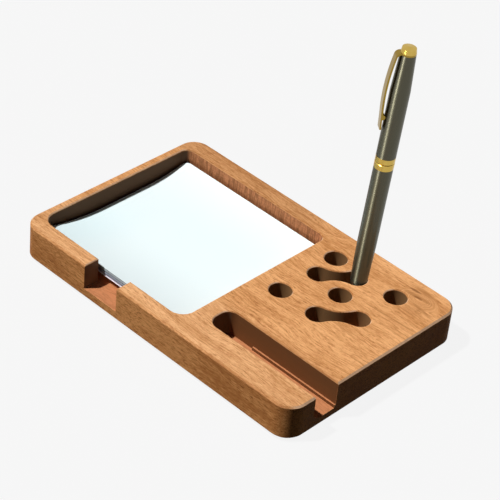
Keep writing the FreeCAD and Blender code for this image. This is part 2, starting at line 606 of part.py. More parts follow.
def make_clip():
    """A sprung strip, bent down from the band under the finial, whose dimple nears the barrel."""
    body = new_body("pen_clip")
    sketch = new_sketch(body, "BandOutline", "XY_Plane", UPPER_TOP)
    circles(sketch, [("0", "0")], "2 * finial_foot_radius")
    circles(sketch, [("0", "0")], "2 * (stud_radius + seat_clearance)")
    pad(body, "Band", sketch, "clip_sheet")
    sketch = new_sketch(body, "StripOutline", "XZ_Plane", turn=(Vector(0, 1, 0), "clip_turn"))
    root = "(stud_radius + clip_sheet)"
    knee = "(%s - clip_knee_drop)" % UPPER_TOP
    rise = "(upper_body_radius + clip_rise)"
    tip = "(upper_body_radius + clip_tip_gap)"
    dimple = "(%s - clip_bow_length)" % UPPER_TOP
    tip_height = "(%s - clip_tail_length)" % dimple
    crest = "(clip_rise - clip_dimple_gap)"
    dimple_radius = "(clip_dimple_length^2 / (8 * %s) + %s / 2)" % (crest, crest)
    outline(sketch, [
        (root, UPPER_TOP), ("finial_foot_radius", UPPER_TOP), ("(clip_shoulder - clip_sheet)", knee),
        (rise, "(%s + clip_dimple_length / 2)" % dimple),
        (rise, "(%s - clip_dimple_length / 2)" % dimple), (tip, tip_height),
        ("(%s + clip_sheet)" % tip, tip_height), ("(%s + clip_sheet)" % rise, dimple),
        ("clip_shoulder", knee), ("finial_foot_radius", FINIAL_FOOT), (root, FINIAL_FOOT)],
        {2: ("clip_bow_radius", -1), 3: (dimple_radius, 1),
         7: ("(clip_bow_radius + clip_sheet)", 1), 8: ("clip_knee_radius", 1)})
    pad(body, "Strip", sketch, "clip_width", midplane=True)
    return lean(body)


def make_mechanism():
    """The brass housing that the pen turns on, and the cam sleeve that turns inside it."""
    body = new_body("pen_mechanism_housing")
    turned(body, "Housing", [("housing_bore_radius", HOUSING_FOOT), ("housing_radius", HOUSING_FOOT),
                             ("housing_radius", HOUSING_TOP), ("housing_bore_radius", HOUSING_TOP)])
    lean(body)
    body = new_body("pen_cam_sleeve")
    step = "(%s + running_clearance)" % HOUSING_TOP
    turned(body, "Sleeve", [("cam_bore_radius", CAM_FOOT), (CAM_RADIUS, CAM_FOOT), (CAM_RADIUS, step),
                            (CAM_HEAD_RADIUS, step), (CAM_HEAD_RADIUS, STUD_SEAT),
                            ("cam_bore_radius", STUD_SEAT)])
    lean(body)


def make_refill():
    """The refill: a writing tip and a follower pressed into the two ends of its tube."""
    body = new_body("pen_refill_tip")
    stem = "(%s - seat_clearance)" % REFILL_BORE
    stem_top = "(tip_length + tip_stem_length)"
    turned(body, "Tip", [("0", "-point_height"), ("point_radius", "0"),
                         ("tip_radius", "tip_cone_length"), ("tip_radius", "tip_length"),
                         (stem, "tip_length"), (stem, stem_top), ("0", stem_top)])
    lean(body)
    body = new_body("pen_refill_tube")
    turned(body, "Tube", [(REFILL_BORE, "tip_length"), ("refill_radius", "tip_length"),
                          ("refill_radius", REFILL_TOP), (REFILL_BORE, REFILL_TOP)])
    lean(body)
    body = new_body("pen_cam_follower")
    foot = "(%s - follower_stem_length)" % REFILL_TOP
    crown = "(%s + follower_head_length)" % REFILL_TOP
    turned(body, "Follower", [("0", foot), (stem, foot), (stem, REFILL_TOP),
                              (FOLLOWER_RADIUS, REFILL_TOP), (FOLLOWER_RADIUS, crown), ("0", crown)])
    lean(body)


# --------------------------------------------------------------------------------------------
# Build, check and export
# --------------------------------------------------------------------------------------------
make_board()
for side_y, sign_y in (("front", "-"), ("back", "")):
    for side_x, sign_x in (("left", "-"), ("right", "")):
        make_foot("foot_%s_%s" % (side_y, side_x), sign_x + FOOT_X, sign_y + FOOT_Y)
make_sheets("memo_sheets_lower", "0", "lower_bundle", "0")
make_sheets("memo_sheets_middle", MIDDLE_BASE, "middle_bundle", "1")
make_sheets("memo_sheets_upper", UPPER_BASE, "upper_bundle", "2")
make_sheets("memo_top_sheet", TOP_BASE, "top_sheet", "3")
make_lower_barrel()
make_upper_barrel()
make_ring("pen_lower_ring", LOWER_TOP, LOWER_RING_TOP, BARREL_BORE, LOWER_RING_TOP)
make_ring("pen_upper_ring", UPPER_RING_FOOT, UPPER_FOOT, UPPER_BORE, UPPER_RING_FOOT)
make_finial()
make_clip()
make_mechanism()
make_refill()
doc.recompute()

for item in doc.Objects:
    faults = [state for state in item.State if state in ("Invalid", "Error")]
    if faults:
        raise RuntimeError("%s is %s" % (item.Label, faults[0]))
bodies = [item for item in doc.Objects if item.TypeId == "PartDesign::Body"]
os.makedirs("parts", exist_ok=True)
for body in bodies:
    shape = body.Shape
    if shape.isNull() or not shape.isValid() or len(shape.Solids) != 1:
        raise RuntimeError(body.Label + " is not one sound solid")
for body in bodies:
    body.Shape.exportStep(os.path.join("parts", body.Label + ".step"))
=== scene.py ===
"""Desk organizer set: wood, paper, lacquer and gold for the solids, loose sheets and the studio."""
import json
import math

import bpy
from bpy.props import FloatProperty, FloatVectorProperty, PointerProperty
from mathutils import Matrix, Vector


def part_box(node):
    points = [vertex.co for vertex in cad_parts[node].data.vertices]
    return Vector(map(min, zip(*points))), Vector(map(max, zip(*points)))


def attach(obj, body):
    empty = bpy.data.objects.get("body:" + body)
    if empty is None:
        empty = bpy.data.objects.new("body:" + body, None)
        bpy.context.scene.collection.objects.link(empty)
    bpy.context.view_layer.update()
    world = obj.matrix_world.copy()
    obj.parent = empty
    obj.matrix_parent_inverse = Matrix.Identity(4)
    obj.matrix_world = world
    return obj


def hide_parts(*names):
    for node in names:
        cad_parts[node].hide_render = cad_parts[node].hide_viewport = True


bl_info = {
    "name": "Desk organizer set",
    "version": (1, 0, 0),
    "blender": (4, 5, 0),
    "location": "View3D > Sidebar > Organizer",
    "description": "Dresses a milled desk organizer with its memo sheets and pen, and lights it",
    "category": "Object",
}

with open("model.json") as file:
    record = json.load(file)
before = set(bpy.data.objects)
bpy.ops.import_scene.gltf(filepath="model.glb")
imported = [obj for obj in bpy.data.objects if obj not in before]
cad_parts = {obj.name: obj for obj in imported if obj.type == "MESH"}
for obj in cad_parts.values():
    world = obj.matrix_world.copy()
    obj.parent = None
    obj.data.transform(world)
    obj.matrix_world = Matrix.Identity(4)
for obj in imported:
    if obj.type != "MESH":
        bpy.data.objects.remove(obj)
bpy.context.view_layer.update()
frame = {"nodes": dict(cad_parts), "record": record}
MM = 0.001
BLOCK_LOW, BLOCK_HIGH = [Vector(corner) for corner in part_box("wooden_block")]
TOP = BLOCK_HIGH.z / MM
PEN_JOINT = next(joint for joint in frame["record"]["behaviour"]["joints"]
                 if joint["name"] == "pen_twist")
PEN_AXIS = Vector(PEN_JOINT["axis"]).normalized()
PEN_PLACE = Vector(PEN_JOINT["pos_m"])
SHEET_MIDDLE_Y = -0.6 * MM
BOARD_CORNER = 9.0
BOARD_EDGE = 0.9
HOLES_FROM_X = 13.0
HOLES_FROM_Y = -21.5
POCKET_LEFT_X = -60.0
LEAF_STRIPS = 20
LEAF_TURN = math.radians(0.12)
LEAF_SHARE = 0.72
FLOOR_SIZE = 6.0
FLOOR_HEIGHT = -0.0002


# ------------------------------------------------------------------------------------------
# Shader maths
# ------------------------------------------------------------------------------------------
class Signal:
    """An output socket of a finish. Arithmetic on it adds Math nodes to that finish."""

    def __init__(self, finish, socket):
        self.finish = finish
        self.socket = socket

    def out(self, name):
        """Another output of the same node."""
        return Signal(self.finish, self.socket.node.outputs[name])

    def math(self, operation, *values, clamp=False):
        settings = {"operation": operation, "use_clamp": clamp}
        return self.finish.node("ShaderNodeMath", settings, dict(enumerate(values)))

    def __add__(self, other):
        return self.math("ADD", self, other)

    def __radd__(self, other):
        return self.math("ADD", other, self)

    def __sub__(self, other):
        return self.math("SUBTRACT", self, other)

    def __rsub__(self, other):
        return self.math("SUBTRACT", other, self)

    def __mul__(self, other):
        return self.math("MULTIPLY", self, other)

    def __rmul__(self, other):
        return self.math("MULTIPLY", other, self)

    def __truediv__(self, other):
        return self.math("DIVIDE", self, other)

    def __pow__(self, other):
        return self.math("POWER", self, other)

    def __abs__(self):
        return self.math("ABSOLUTE", self)

    def above(self, edge, soft):
        """0 below the edge, 1 from edge + soft on, smooth between."""
        return self.finish.node("ShaderNodeMapRange", {"interpolation_type": "SMOOTHSTEP"},
                                {"Value": self, "From Min": edge, "From Max": edge + soft})

    def below(self, edge, soft):
        """1 up to the edge, 0 from edge + soft on, smooth between."""
        return 1 - self.above(edge, soft)


class Finish:
    """A material, and the one way in which nodes are added to it."""

    def __init__(self, name):
        self.material = bpy.data.materials.new(name)
        self.material.use_nodes = True
        self.tree = self.material.node_tree
        self.tree.nodes.clear()

    def node(self, kind, settings=None, sockets=None, output=0):
        """A node with its settings, its ramp's stops, and the values or links of its sockets."""
        made = self.tree.nodes.new(kind)
        for name, setting in (settings or {}).items():
            if name == "stops":
                self.set_stops(made.color_ramp, setting)
            else:
                setattr(made, name, setting)
        for name, value in (sockets or {}).items():
            if isinstance(value, Signal):
                self.tree.links.new(value.socket, made.inputs[name])
            else:
                made.inputs[name].default_value = value
        return Signal(self, made.outputs[output])

    @staticmethod
    def set_stops(ramp, stops):
        while len(ramp.elements) < len(stops):
            ramp.elements.new(1.0)
        for element, (position, color) in zip(ramp.elements, stops):
            element.position = position
            element.color = (*color, 1.0)

    def place(self, scale=1 / MM):
        """Object coordinates, in millimetres unless scaled otherwise."""
        coordinates = self.node("ShaderNodeTexCoord").out("Object")
        return self.node("ShaderNodeVectorMath", {"operation": "SCALE"},
                         {0: coordinates, "Scale": scale})

    def split(self, vector):
        parts = self.node("ShaderNodeSeparateXYZ", None, {0: vector})
        return parts, parts.out("Y"), parts.out("Z")

    def join(self, x, y, z):
        return self.node("ShaderNodeCombineXYZ", None, {0: x, 1: y, 2: z})

    def facing(self):
        """Way the surface faces, in the object's own directions."""
        return self.split(self.node("ShaderNodeTexCoord").out("Normal"))

    def streak(self, x, y, start, end, width):
        """1 on a spindle that runs from start to end, 0 beside it."""
        start, end = Vector(start), Vector(end)
        middle, half = (start + end) / 2, (end - start) / 2
        run, rise = x - middle.x, y - middle.y
        along = (run * half.x + rise * half.y) / half.length_squared
        aside = (rise * half.x - run * half.y) / (half.length * width)
        return (along ** 2 + aside ** 2).below(0.1, 0.9)

    def noise(self, vector, scale, detail=2.0, roughness=0.5):
        return self.node("ShaderNodeTexNoise", None, {
            "Vector": vector, "Scale": scale, "Detail": detail, "Roughness": roughness})

    def blend(self, factor, first, second, mode="MIX"):
        """First colour turning into the second."""
        return self.node("ShaderNodeMix", {"data_type": "RGBA", "blend_type": mode},
                         {"Factor": factor, 6: first, 7: second}, 2)

    def tint(self, factor, color, tint):
        """The colour multiplied by a tint, as far as the factor says."""
        return self.blend(factor, color, self.blend(1.0, color, rgb(tint), "MULTIPLY"))

    def bump(self, height, depth):
        """A normal for relief of that depth in metres."""
        return self.node("ShaderNodeBump", None, {"Height": height, "Strength": 1.0,
                                                  "Distance": depth})

    def surface(self, **sockets):
        """Close the finish with one Principled shader; underscores stand for spaces."""
        named = {name.replace("_", " "): value for name, value in sockets.items()}
        shader = self.node("ShaderNodeBsdfPrincipled", None, named)
        self.node_output(shader)
        return self.material

    def node_output(self, shader):
        output = self.tree.nodes.new("ShaderNodeOutputMaterial")
        self.tree.links.new(shader.socket, output.inputs["Surface"])


def rgb(color):
    return (*color, 1.0)


# ------------------------------------------------------------------------------------------
# Settings
# ------------------------------------------------------------------------------------------
def color_setting(name, description, default):
    return FloatVectorProperty(name=name, description=description, subtype="COLOR", size=3,
                               min=0.0, max=1.0, default=default)


def length_setting(name, description, default):
    return FloatProperty(name=name, description=description, unit="LENGTH", default=default)


def angle_setting(name, description, degrees):
    return FloatProperty(name=name, description=description, subtype="ANGLE",
                         default=math.radians(degrees))


class WoodSettings(bpy.types.PropertyGroup):
    light: color_setting("Light wood", "Palest wood, between the lines of the grain",
                         (0.93, 0.515, 0.245))
    middle: color_setting("Wood", "The board's main colour", (0.55, 0.25, 0.09))
    line: color_setting("Grain lines", "Long fine lines of the grain", (0.42, 0.19, 0.07))
    pore: color_setting("Pores", "Short dark dashes along the grain", (0.25, 0.10, 0.035))
    fleck: color_setting("Flecks", "Reddish flecks between the pores", (0.50, 0.19, 0.075))
    fresh: color_setting("Milled floors", "Fresh wood on floors and ledges", (0.60, 0.24, 0.105))
    # dark colour of the slot walls is painted shade of the recess; on the floors the same colour
    # gives dark grain and planing marks
    wall_shade_and_marks: color_setting("Slot walls", "Walls that the cutter darkened", (0.175, 0.069, 0.025))
    # dark colour of the hole walls is painted shade of the holes
    hole_wall_shade: color_setting("Hole walls", "Walls of the pen holes", (0.24, 0.13, 0.055))
    # walls facing right in the pocket, notch and slot are painted dark as shade
    left_wall_shade: color_setting("Left walls", "Walls of the pocket, notch and slot that face right",
                             (0.24, 0.15, 0.09))
    # the outer sides' tint is partly the wood's own tone, partly painted shade
    side_tone_and_shade: color_setting("Outer sides", "Tint of the board's outer sides", (0.79, 0.66, 0.48))
    # this tint and the next are partly the wood's tone, partly painted shade
    back_rim_tone_and_shade: color_setting("Back rim", "Tint of the top behind the pocket", (0.80, 0.79, 0.80))
    middle_tone_and_shade: color_setting("Middle", "Tint of the top behind the slot", (0.96, 0.90, 0.81))
    # the right end is darker, partly as end grain and partly as painted shade of the unlit end
    end_grain_and_shade: color_setting("Right end", "Tint of the end grain", (0.70, 0.64, 0.50))
    # the pocket's left wall is darker still, as painted shade
    pocket_wall_shade: color_setting("Pocket's left wall", "Its tint beside the other left walls",
                               (0.5, 0.45, 0.42))
    # the eased front edge is darkened as painted shade
    front_edge_shade: color_setting("Front edge", "Tint of the eased front edge",
                                   (0.80, 0.72, 0.62))
    # the eased back edge is darkened as painted shade
    back_edge_shade: color_setting("Back edge", "Tint of the eased back edge", (0.52, 0.52, 0.56))
    # pale painted highlight on the other eased edges
    edge_highlight: color_setting("Worn edges", "Pale wood on the other eased edges",
                             (0.92, 0.66, 0.46))
    pore_length: length_setting("Pore length", "Length of a dark dash", 3.1 * MM)
    pore_width: length_setting("Pore width", "Width of a dark dash", 0.52 * MM)
    roughness: FloatProperty(name="Roughness", description="Gloss of the oiled wood", default=0.55)


class PaperSettings(bpy.types.PropertyGroup):
    color: color_setting("Paper", "Colour of the sheets", (0.875, 0.98, 0.99))
    # grey-blue of the cut edges is painted shade of the stack
    edge: color_setting("Cut edges", "Colour of the sheets' cut edges", (0.20, 0.20, 0.32))
    corner: length_setting("Corners", "Rounding of the sheets' corners", 3.0 * MM)
    front_curl: length_setting("Front curl", "Curled stretch at the front", 34.5 * MM)
    back_curl: length_setting("Back curl", "Curled stretch at the back", 26.0 * MM)
    front_radius: length_setting("Front bend", "Lowest sheets' bend at the front", 160.0 * MM)
    back_radius: length_setting("Back bend", "Lowest sheets' bend at the back", 140.0 * MM)
    gain: length_setting("Gain", "How much tighter each bundle bends than the one below", 12.0 * MM)


class PenSettings(bpy.types.PropertyGroup):
    barrel: color_setting("Barrel", "Brushed and lacquered barrel", (0.095, 0.09, 0.06))
    gold: color_setting("Gold", "Rings and finial", (0.62, 0.44, 0.11))
    # the clip's gold is the rings' gold darkened as painted shade
    clip: color_setting("Clip", "Darker gold of the clip", (0.34, 0.23, 0.045))


class StageSettings(bpy.types.PropertyGroup):
    azimuth: angle_setting("Azimuth", "Camera's turn round the set", 41.07)
    elevation: angle_setting("Elevation", "Camera's height angle", 37.07)
    roll: angle_setting("Roll", "Camera's tilt about its line of sight", 6.09)
    distance: length_setting("Distance", "Camera from the set", 877.08 * MM)
    aim_right: length_setting("Aim right", "Middle of the picture, right of the origin", 6.57 * MM)
    aim_up: length_setting("Aim up", "Middle of the picture, above the origin", 20.08 * MM)
    lens: FloatProperty(name="Lens", description="Focal length in mm on a 36 mm sensor",
                        default=138.72)
    sun: FloatProperty(name="Sun", description="Strength of the key light", default=3.65)
    sun_azimuth: angle_setting("Sun azimuth", "Way the key light travels, from X", 53.3)
    sun_elevation: angle_setting("Sun elevation", "Key light above the horizon", 59.25)
    softbox: FloatProperty(name="Softbox", description="Power of the tall softbox, W", default=14.0)
    softbox_azimuth: angle_setting("Softbox azimuth", "Where the softbox stands", 266.0)
    softbox_distance: length_setting("Softbox distance", "From the middle of the board", 700.0 * MM)
    softbox_height: length_setting("Softbox height", "Middle of the softbox above the desk",
                                   450.0 * MM)
    softbox_width: length_setting("Softbox width", "Across", 70.0 * MM)
    softbox_length: length_setting("Softbox length", "Up and down", 900.0 * MM)
    ambient: FloatProperty(name="Ambient", description="Strength of the room's light",
                           default=0.022)
    backdrop: FloatProperty(name="Backdrop", description="Brightness of the plain background",
                            default=0.93)


# ------------------------------------------------------------------------------------------
# Mesh helpers
# ------------------------------------------------------------------------------------------
def deselect():
    bpy.ops.object.select_all(action="DESELECT")


def give(obj, material):
    """The object's only material."""
    obj.data.materials.clear()
    obj.data.materials.append(material)


def dress(node, material):
    """A finish on a solid of the set."""
    give(frame["nodes"][node], material)


# ------------------------------------------------------------------------------------------
# Wood
# ------------------------------------------------------------------------------------------
def outer_side(x, y, level):
    """1 on the board's outline, 0 on the walls of its openings."""
    past = []
    for place, size in ((x, BLOCK_HIGH.x), (y, BLOCK_HIGH.y)):
        beyond = abs(place) - (size / MM - BOARD_CORNER)
        past.append(beyond.math("MAXIMUM", beyond, 0.0))
    return (past[0] ** 2 + past[1] ** 2).above((BOARD_CORNER - 0.14) ** 2, 1.2) * level


def wood_finish(wood):
    """Oiled beech: fine lines and short pores along the board, which bend round a knot."""
    finish = Finish("oiled_beech")
    x, y, z = finish.split(finish.place())
    facing_x, facing_y, facing_z = finish.facing()
    upward = facing_z.above(0.80, 0.15)
    upright = abs(facing_z).below(0.25, 0.2)
    knot = Vector((70.0, 44.0))

    # the grain runs along X and swirls round the knot
    from_knot = (((x - knot.x) / 11.0) ** 2 + ((y - knot.y) / 6.5) ** 2) ** 0.5
    swirl = from_knot.below(0.25, 0.75)
    drift = finish.noise(finish.join(x * 0.013, y * 0.03, z * 0.03), 1.0, 2.0) - 0.5
    waver = finish.noise(finish.join(x * 0.06, y * 0.12, z * 0.12), 1.0, 2.0) - 0.5
    across = (y + drift * 16.0 + waver * 2.2) * (1 - swirl) + from_knot * swirl * 6.0

    cloud = finish.noise(finish.join(x * 0.016, across * 0.10, z * 0.10), 1.0, 3.0, 0.6)
    line = finish.noise(finish.join(x * 0.03, across * 1.35, z * 1.35), 1.0, 3.0, 0.65)
    fiber = finish.noise(finish.join(x * 0.16, across * 3.4, z * 3.4), 1.0, 3.0, 0.7)
    dash_x, dash_y = 0.9 * MM / wood.pore_length, 1.0 * MM / wood.pore_width
    dash = finish.noise(finish.join(x * dash_x, across * dash_y, z * dash_y + 40.0), 1.0, 2.0, 0.7)
    fleck = finish.noise(finish.join(x * dash_x * 1.5 + 7.0, across * dash_y, z * dash_y),
                         1.0, 2.0, 0.7)
    crowd = finish.noise(finish.join(x * 0.05, y * 0.12, z * 0.12 + 9.0), 1.0, 2.0)
    pore = dash.above(0.57, 0.12) * (crowd.above(0.30, 0.35) * 0.6 + 0.4)

    # plainest on the middle, strongest on the outer sides
    front = y.below(-30.0, 34.0)
    side = outer_side(x, y, upright)
    tone = (cloud * 0.40 + line * 0.2 + dash * 0.40 - 0.5) * (side * 0.5 + 0.95) + 0.5
    color = finish.blend(tone.above(0.36, 0.28), rgb(wood.light), rgb(wood.middle))
    color = finish.blend(line.above(0.52, 0.16) * 0.35, color, rgb(wood.line))
    color = finish.blend(fleck.above(0.50, 0.16) * (front * 0.1 + 0.40), color, rgb(wood.fleck))
    color = finish.blend(pore * (side * 0.4 + 0.5), color, rgb(wood.pore))

    # two short cracks, and dark flames beside them
    cracks = (finish.streak(x, y, (60.4, 47.3), (68.6, 47.9), 0.9)
              + finish.streak(x, y, (65.8, 44.1), (71.6, 44.9), 0.8))
    flames = (finish.streak(x, y, (60.0, 50.5), (76.0, 49.0), 1.6)
              + finish.streak(x, y, (68.0, 40.2), (84.0, 37.4), 1.1)
              + finish.streak(x, y, (58.0, 44.2), (78.0, 45.5), 1.5)
              + finish.streak(x, y, (54.0, 23.5), (73.0, 24.3), 0.7)
              + finish.streak(x, y, (68.0, 24.2), (85.0, 24.9), 0.6)
              + finish.streak(x, y, (67.0, 35.8), (80.0, 34.8), 3.5) * 0.4)
    mottle = swirl * from_knot.above(0.2, 0.3) * line.above(0.44, 0.12)
    on_top = upward * z.above(TOP - BOARD_EDGE, 0.2)
    color = finish.blend((flames * 0.6 + mottle * 0.4) * on_top, color, rgb(wood.line))
    color = finish.blend(cracks * 0.8 * on_top, color, rgb(wood.pore))

    # the middle is warmer than the front, and the rim behind the pocket duller; both tints are
    # partly the wood's tone, partly painted shade
    behind = y.above(38.0, 8.0) * x.below(-12.0, 30.0)
    color = finish.tint(y.above(-30.0, 10.0), color, wood.middle_tone_and_shade)
    color = finish.tint(behind, color, wood.back_rim_tone_and_shade)

    # milled walls and floors: the walls of the slot and the holes, and the walls facing right, are
    # darkened as painted shade; the floors are fresh wood with dark marks
    inside = (1 - outer_side(x, y, 1.0)) * z.below(TOP - BOARD_EDGE, 0.2)
    grain = (line + fiber) * 0.5
    floor = finish.blend(dash.above(0.40, 0.25) * 0.32, rgb(wood.fresh), rgb(wood.wall_shade_and_marks))
    planed = finish.noise(finish.join(x * 1.3, y * 0.1, z * 0.16), 1.0, 3.0, 0.7).above(0.38, 0.24)
    back = facing_y.below(-0.8, 0.3) * x.below(12.0, 0.4)
    floor = finish.blend(back * (planed * 0.6 + 0.1), floor, rgb(wood.wall_shade_and_marks))
    holes = y.above(HOLES_FROM_Y, 0.5)
    wall = finish.blend(holes, rgb(wood.wall_shade_and_marks), rgb(wood.hole_wall_shade))
    wall = finish.blend(grain.above(0.40, 0.3) * 0.2, wall, rgb(wood.pore))
    left = facing_x.above(0.5, 0.3) * (1 - x.above(HOLES_FROM_X, 0.4) * holes)
    color = finish.blend(inside, color, floor)
    # the walls of the slot and the holes take their painted shade
    color = finish.blend(inside * upright * x.above(HOLES_FROM_X, 0.4), color, wall)
    # walls facing right take the painted shade, darkest on the pocket's left wall
    left_wall_shade = finish.tint(x.below(POCKET_LEFT_X, 1.0), rgb(wood.left_wall_shade), wood.pocket_wall_shade)
    color = finish.blend(inside * upright * left, color, left_wall_shade)

    # the outer sides are duller, partly by their own tone and partly as painted shade, and the
    # right end darker still; the eased front and back edges are darkened as painted shade, and the
    # other eased edges carry a pale painted highlight
    color = finish.tint(side, color, wood.side_tone_and_shade)
    # the right end is darker still, partly end grain, partly painted shade
    color = finish.tint(side * facing_x.above(0.5, 0.4), color, wood.end_grain_and_shade)
    eased = (1 - upward) * (1 - upright) * z.above(TOP - 1.2, 0.2)
    toward = facing_y.below(-0.55, 0.3)
    away = facing_y.above(0.35, 0.3)
    # the eased front and back edges are darkened as painted shade
    color = finish.tint(eased * toward, color, wood.front_edge_shade)
    color = finish.tint(eased * away, color, wood.back_edge_shade)
    # the other eased edges carry a pale painted highlight
    color = finish.blend(eased * (1 - toward) * (1 - away) * 0.5, color, rgb(wood.edge_highlight))

    relief = fiber * 0.5 + line * 0.3 - pore * 0.5
    return finish.surface(
        Base_Color=color, Roughness=fiber * 0.12 + (wood.roughness - 0.06),
        Specular_IOR_Level=0.04, Normal=finish.bump(relief, 0.04 * MM))


class ORGANIZER_OT_finish_wood(bpy.types.Operator):
    """Give the milled board its oiled wood"""
    bl_idname = "organizer.finish_wood"
    bl_label = "Finish the wood"

    def execute(self, context):
        dress("wooden_block", wood_finish(context.scene.organizer_wood))
        return {"FINISHED"}


# ------------------------------------------------------------------------------------------
# Feet
# ------------------------------------------------------------------------------------------
def rubber_finish():
    finish = Finish("rubber")
    grain = finish.noise(finish.place(), 6.0, 3.0)
    color = finish.blend(grain, rgb((0.028, 0.028, 0.03)), rgb((0.05, 0.05, 0.052)))
    return finish.surface(Base_Color=color, Roughness=0.75, Normal=finish.bump(grain, 0.03 * MM))


class ORGANIZER_OT_fit_feet(bpy.types.Operator):
    """Give the four feet their rubber"""
    bl_idname = "organizer.fit_feet"
    bl_label = "Fit the feet"

    def execute(self, context):
        rubber = rubber_finish()
        for node in frame["nodes"]:
            if node.startswith("foot_"):
                dress(node, rubber)
        return {"FINISHED"}


# ------------------------------------------------------------------------------------------
# Memo sheets
# ------------------------------------------------------------------------------------------
def paper_finish(paper, name, on_top):
    """Smooth bluish-white paper. Its cut edges, and below the top sheet its front margins, are
    painted grey-blue as shade, with darker painted lines between the leaves.
    """
    finish = Finish(name)
    x, y, z = finish.split(finish.place())
    facing_z = finish.facing()[2]
    low, high = [Vector(corner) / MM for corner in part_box("memo_top_sheet")]
    tooth = finish.noise(finish.place(), 1.8, 4.0, 0.6)
    cloud = finish.noise(finish.place(), 0.03, 1.0)
    shade = tuple(channel * 0.97 for channel in paper.color)
    color = finish.blend(cloud, rgb(paper.color), rgb(shade))
    corner = x.below(low.x + 6, 26.0) * y.below(low.y + 20, 40.0)
    color = finish.tint(corner, color, (0.94, 0.99, 1.0))
    # cut edges painted grey-blue as shade, with darker painted lines between the leaves
    stripe = finish.noise(finish.join(x * 0.02, y * 0.02, z * 3.0), 1.0, 1.0).above(0.42, 0.16)
    dark = tuple(channel * 0.3 for channel in paper.edge)
    edge = finish.blend(stripe, rgb(dark), rgb(paper.edge))
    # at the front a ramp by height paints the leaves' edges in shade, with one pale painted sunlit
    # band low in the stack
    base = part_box("memo_sheets_lower")[0][2] / MM
    front_edge_light_and_shade = finish.node("ShaderNodeValToRGB", {"stops": (
        (0.29, (0.10, 0.08, 0.09)), (0.34, (0.50, 0.45, 0.52)), (0.37, (0.97, 0.93, 1.0)),
        (0.44, (0.97, 0.93, 1.0)), (0.47, (0.30, 0.31, 0.38)), (0.55, (0.25, 0.27, 0.34)),
        (0.61, (0.42, 0.47, 0.50)), (0.75, (0.52, 0.58, 0.60)))}, {"Fac": (z - base) * 0.1})
    edge = finish.blend(y.below(low.y + 2.0, 1.0), edge, front_edge_light_and_shade)
    # the front margin takes the same painted shade as the cut edges
    shaded_margin = y.below(low.y + 0.9, 0.2)
    if on_top:
        shaded_margin = shaded_margin * facing_z.below(0.2, 0.2)
    cut = abs(facing_z).below(0.4, 0.2)
    color = finish.blend(cut.math("MAXIMUM", cut, shaded_margin), color, edge)
    return finish.surface(Base_Color=color, Roughness=0.8, Specular_IOR_Level=0.2,
                          Normal=finish.bump(tooth, 0.01 * MM))


BUNDLES = {
    "memo_leaves_lower": ("memo_sheets_lower", "memo_stack", 1.0 * MM, (0.3, 0.0, 0.5, 0.1)),
    "memo_leaves_middle": ("memo_sheets_middle", "memo_stack", 1.0 * MM, (0.2, 0.6, 0.0, 0.4)),
    "memo_leaves_upper": ("memo_sheets_upper", "memo_stack", 0.9 * MM, (0.5, 0.1, 0.4, 0.0)),
    "memo_leaves_top": ("memo_top_sheet", "top_sheet", 0.3 * MM, (0.15, 0.0)),
}


def add_leaf(paper, side, inset, turn):
    """A flat square leaf with round corners, cut across into strips so that it can bend."""
    deselect()
    bpy.ops.mesh.primitive_plane_add(size=side - 2 * inset)
    leaf = bpy.context.object
    bpy.ops.object.mode_set(mode="EDIT")
    bpy.ops.mesh.bevel(offset=paper.corner, segments=5, affect="VERTICES")
    for step in range(1, LEAF_STRIPS):
        bpy.ops.mesh.select_all(action="SELECT")
        bpy.ops.mesh.bisect(plane_co=(0, (step / LEAF_STRIPS - 0.5) * side, 0), plane_no=(0, 1, 0))
    bpy.ops.object.mode_set(mode="OBJECT")
    leaf.data.transform(Matrix.Rotation(turn, 4, "Z"))
    return leaf


def bend_leaf(leaf, paper, side, height, number):
    """Curl the leaf up at the front and the back, about the bends of its bundle."""
    ends = (("front", -1, side / 2 - paper.front_curl, paper.front_radius),
            ("back", 1, side / 2 - paper.back_curl, paper.back_radius))
    for vertex in leaf.data.vertices:
        place = vertex.co
        place.z = height
        for name, way, start, radius in ends:
            past = place.y * way - start
            bend = radius - number * paper.gain
            if past > 0:
                angle = past / bend
                place.y = way * (start + (bend - height) * math.sin(angle))
                place.z = bend - (bend - height) * math.cos(angle)


def add_bundle(paper, name, number):
    """Leaves that lie a little out of line, in place of a bundle's solid."""
    node, body, thickness, insets = BUNDLES[name]
    low, high = [Vector(corner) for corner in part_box(node)]
    side = high.x - low.x
    leaves = []
    for order, inset in enumerate(insets):
        turn = (order % 3 - 1) * LEAF_TURN
        leaf = add_leaf(paper, side, inset * MM, turn)
        bend_leaf(leaf, paper, side, thickness * (order + 0.5) / len(insets), number)
        solid = leaf.modifiers.new("thickness", "SOLIDIFY")
        solid.thickness = thickness / len(insets) * LEAF_SHARE
        solid.offset = 0.0
        bpy.ops.object.modifier_apply(modifier="thickness")
        leaves.append(leaf)
    deselect()
    for leaf in leaves:
        leaf.select_set(True)
    bpy.context.view_layer.objects.active = leaves[0]
    bpy.ops.object.join()
    bundle = bpy.context.object
    bundle.name = name
    middle = Vector(((low.x + high.x) / 2, SHEET_MIDDLE_Y, low.z))
    bundle.data.transform(Matrix.Translation(middle))
    bpy.ops.object.shade_smooth_by_angle(angle=math.radians(30))
    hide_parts(node)
    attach(bundle, body)
    return bundle


class ORGANIZER_OT_stack_sheets(bpy.types.Operator):
    """Lay the loose leaves of the memo sheets"""
    bl_idname = "organizer.stack_sheets"
    bl_label = "Stack the sheets"

    def execute(self, context):
        paper = context.scene.organizer_paper
        stacked = paper_finish(paper, "stacked_paper", False)
        uppermost = paper_finish(paper, "memo_paper", True)
        for number, name in enumerate(BUNDLES):
            on_top = name == "memo_leaves_top"
            give(add_bundle(paper, name, number), uppermost if on_top else stacked)
        return {"FINISHED"}


